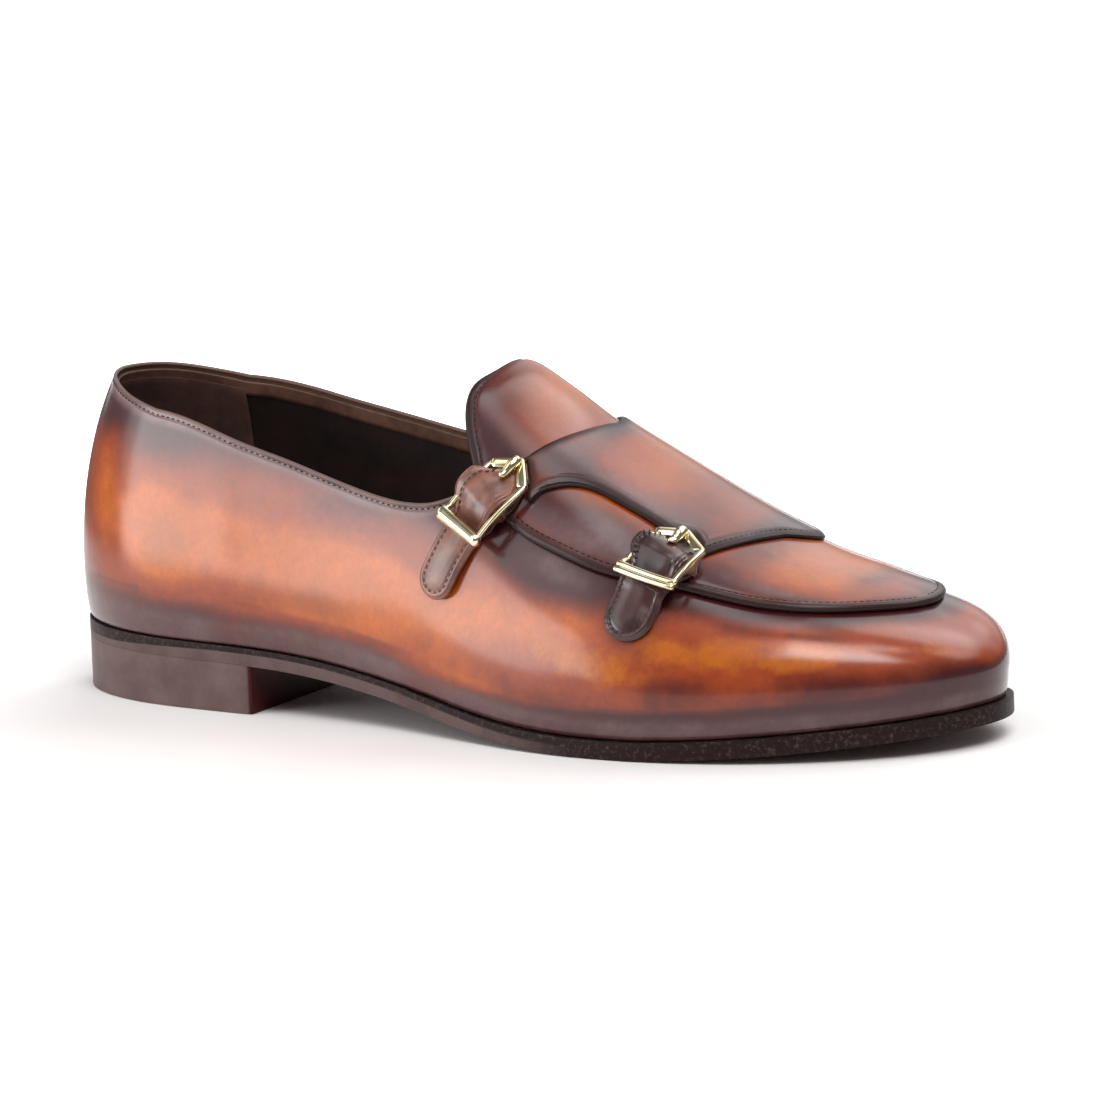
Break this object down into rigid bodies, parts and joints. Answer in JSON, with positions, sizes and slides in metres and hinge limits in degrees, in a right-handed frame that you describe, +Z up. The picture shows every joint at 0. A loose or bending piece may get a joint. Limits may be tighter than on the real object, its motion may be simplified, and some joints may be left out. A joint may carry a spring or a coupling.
{
  "type": "double monk strap shoe",
  "caption": "Low leather shoe with a raised apron and tongue, and a saddle strap that closes on the outer side with two framed buckles",
  "frame": {"origin": "on the floor, under the middle of the shoe's length and width", "axes": "+X from the heel to the toe, +Y to the inner side of the foot, +Z up"},
  "size_m": [0.299, 0.101, 0.1025],
  "materials": {
    "sole_leather": "dark sole leather, waxed edge",
    "heel_stack": "dark stacked leather, waxed",
    "insole_board": "plain brown leather, matt",
    "patina_leather": "polished calf, cognac with dark burnished edges",
    "dark_leather": "polished calf, dark brown",
    "gold": "polished light gold plating"
  },
  "bodies": {
    "root": {"outsole": "sole_leather", "heel": "heel_stack", "insole": "insole_board", "upper": "patina_leather", "apron": "patina_leather", "monk_strap": "patina_leather", "strap_tip_rear": "dark_leather", "strap_tip_front": "dark_leather", "buckle_rear": "gold", "buckle_front": "gold", "prong_rear": "gold", "prong_front": "gold"}
  },
  "joints": []
}
